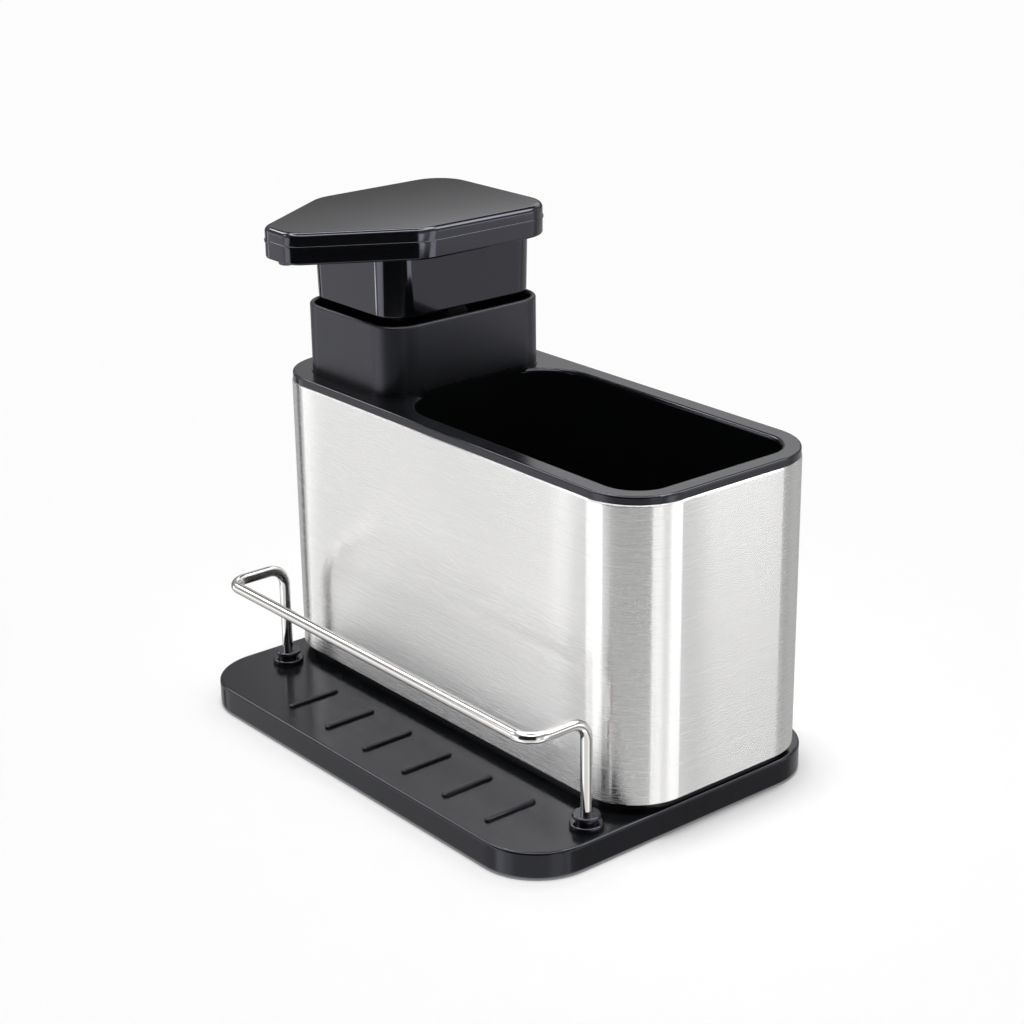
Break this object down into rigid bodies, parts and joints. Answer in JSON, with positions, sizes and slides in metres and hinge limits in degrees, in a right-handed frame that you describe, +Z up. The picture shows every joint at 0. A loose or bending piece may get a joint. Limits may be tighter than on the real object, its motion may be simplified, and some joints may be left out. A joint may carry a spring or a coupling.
{
  "type": "soap pump caddy",
  "caption": "Steel-sleeved sink caddy with a wedge-headed soap pump, an open brush compartment and a ribbed sponge tray with a bent rail.",
  "frame": {"origin": "under the middle of the base tray, on the surface that its feet stand on", "axes": "+X along the caddy towards the brush compartment's end, -Y towards the sponge tray, the rail and the spout, +Z up"},
  "size_m": [0.2, 0.1366, 0.1835],
  "materials": {
    "satin_black": "satin moulded",
    "gloss_black": "gloss moulded",
    "rubber": "soft",
    "sheet_steel": "fine satin polish",
    "rail_steel": "bright polished",
    "fixing_steel": "zinc plated",
    "spring_steel": "drawn wire",
    "natural_plastic": "translucent natural",
    "bottle_plastic": "translucent natural"
  },
  "bodies": {
    "caddy_base": {"base_tray": "satin_black", "base_feet": "rubber", "rail": "rail_steel", "rail_grommets": "rubber", "rail_washers": "fixing_steel", "rail_nuts": "fixing_steel", "steel_sleeve": "sheet_steel", "sleeve_screws": "fixing_steel"},
    "insert": {"caddy_insert": "satin_black"},
    "bottle": {"soap_bottle": "bottle_plastic"},
    "pump": {"pump_cylinder": "natural_plastic", "stem_guide": "satin_black", "closure_gasket": "rubber", "dip_tube": "natural_plastic", "pump_spring": "spring_steel"},
    "closure": {"pump_closure": "satin_black"},
    "ball": {"check_ball": "fixing_steel"},
    "head": {"head_cover": "gloss_black", "head_shell": "gloss_black", "pump_skirt": "gloss_black", "spout_tube": "natural_plastic", "nozzle_tip": "gloss_black", "pump_stem": "natural_plastic", "pump_piston": "natural_plastic"}
  },
  "joints": [
    {"name": "insert_lift", "type": "slide", "parent": "caddy_base", "child": "insert", "axis": [0, 0, 1], "range_m": [0, 0.115]},
    {"name": "bottle_lift", "type": "slide", "parent": "insert", "child": "bottle", "axis": [0, 0, 1], "range_m": [0, 0.14]},
    {"name": "pump_lift", "type": "slide", "parent": "bottle", "child": "pump", "axis": [0, 0, 1], "range_m": [0, 0.125]},
    {"name": "closure_turn", "type": "hinge", "parent": "pump", "child": "closure", "pos_m": [-0.0624, 0.0171, 0.135], "axis": [0, 0, 1], "continuous": true},
    {"name": "ball_rise", "type": "slide", "parent": "pump", "child": "ball", "axis": [0, 0, 1], "range_m": [0, 0.002]},
    {"name": "head_press", "type": "slide", "parent": "pump", "child": "head", "axis": [0, 0, -1], "range_m": [0, 0.018], "stiffness_N_per_m": 400, "springref_m": -0.02, "deforming": ["pump_spring"]}
  ]
}
